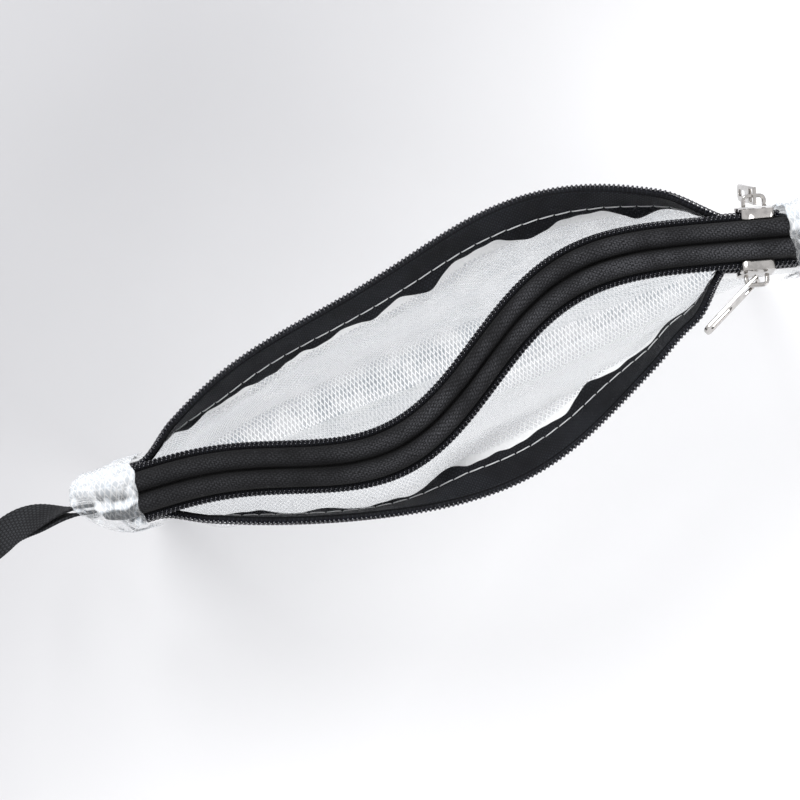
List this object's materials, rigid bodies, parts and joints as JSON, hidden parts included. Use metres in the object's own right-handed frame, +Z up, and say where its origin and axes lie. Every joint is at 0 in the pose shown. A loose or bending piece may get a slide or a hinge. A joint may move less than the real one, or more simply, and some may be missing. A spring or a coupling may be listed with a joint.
{
  "type": "zipper document pouch",
  "caption": "Flat upright pouch of clear net-reinforced film with a divider, two parallel zippers whose mouths stand open, clear end caps and a webbing wrist strap.",
  "frame": {"origin": "middle of the fold under the base, in the plane of the closed pouch's divider", "axes": "+X along the zippers towards the end where the sliders are parked, +Y to the back compartment, +Z up to the mouths"},
  "size_m": [0.3096, 0.087, 0.1698],
  "materials": {
    "net_film": "clear soft film with a white diamond net inside it",
    "clear_film": "crinkled clear film with a faint net",
    "zipper_tape": "black woven polyester tape",
    "zipper_coil": "black nylon coil",
    "slider_metal": "nickel-plated zinc, slightly worn",
    "webbing": "black woven webbing, plain"
  },
  "bodies": {
    "pouch": {"outer_film": "net_film", "divider_film": "net_film", "front_outer_tape": "zipper_tape", "front_outer_coil": "zipper_coil", "front_inner_tape": "zipper_tape", "front_inner_coil": "zipper_coil", "back_outer_tape": "zipper_tape", "back_outer_coil": "zipper_coil", "back_inner_tape": "zipper_tape", "back_inner_coil": "zipper_coil", "left_end_cap": "clear_film", "left_side_binding": "clear_film", "right_end_cap": "clear_film", "right_side_binding": "clear_film", "strap_root": "webbing"},
    "back_slider": {"back_slider_body": "slider_metal", "back_slider_bridge": "slider_metal"},
    "front_slider": {"front_slider_body": "slider_metal", "front_slider_bridge": "slider_metal"},
    "back_pull": {"back_pull_tab": "slider_metal"},
    "front_pull": {"front_pull_tab": "slider_metal"},
    "strap_loop": {"wrist_strap": "webbing"}
  },
  "joints": [
    {"name": "back_slider_slide", "type": "slide", "parent": "pouch", "child": "back_slider", "axis": [-0.9562, 0.2926, 0], "range_m": [0, 0.0035]},
    {"name": "front_slider_slide", "type": "slide", "parent": "pouch", "child": "front_slider", "axis": [-0.9562, 0.2926, 0], "range_m": [0, 0.0035]},
    {"name": "back_pull_swing", "type": "hinge", "parent": "back_slider", "child": "back_pull", "pos_m": [0.10924, 0.01546, 0.16135], "axis": [0.9562, -0.2926, 0], "range_deg": [-8, 150]},
    {"name": "front_pull_swing", "type": "hinge", "parent": "front_slider", "child": "front_pull", "pos_m": [0.10032, -0.01024, 0.16101], "axis": [-0.2295, 0.3689, 0.9007], "range_deg": [-3, 98]},
    {"name": "strap_swing", "type": "hinge", "parent": "pouch", "child": "strap_loop", "pos_m": [-0.16, 0.004, 0.153], "axis": [0, 1, 0], "range_deg": [-12, 85]}
  ]
}
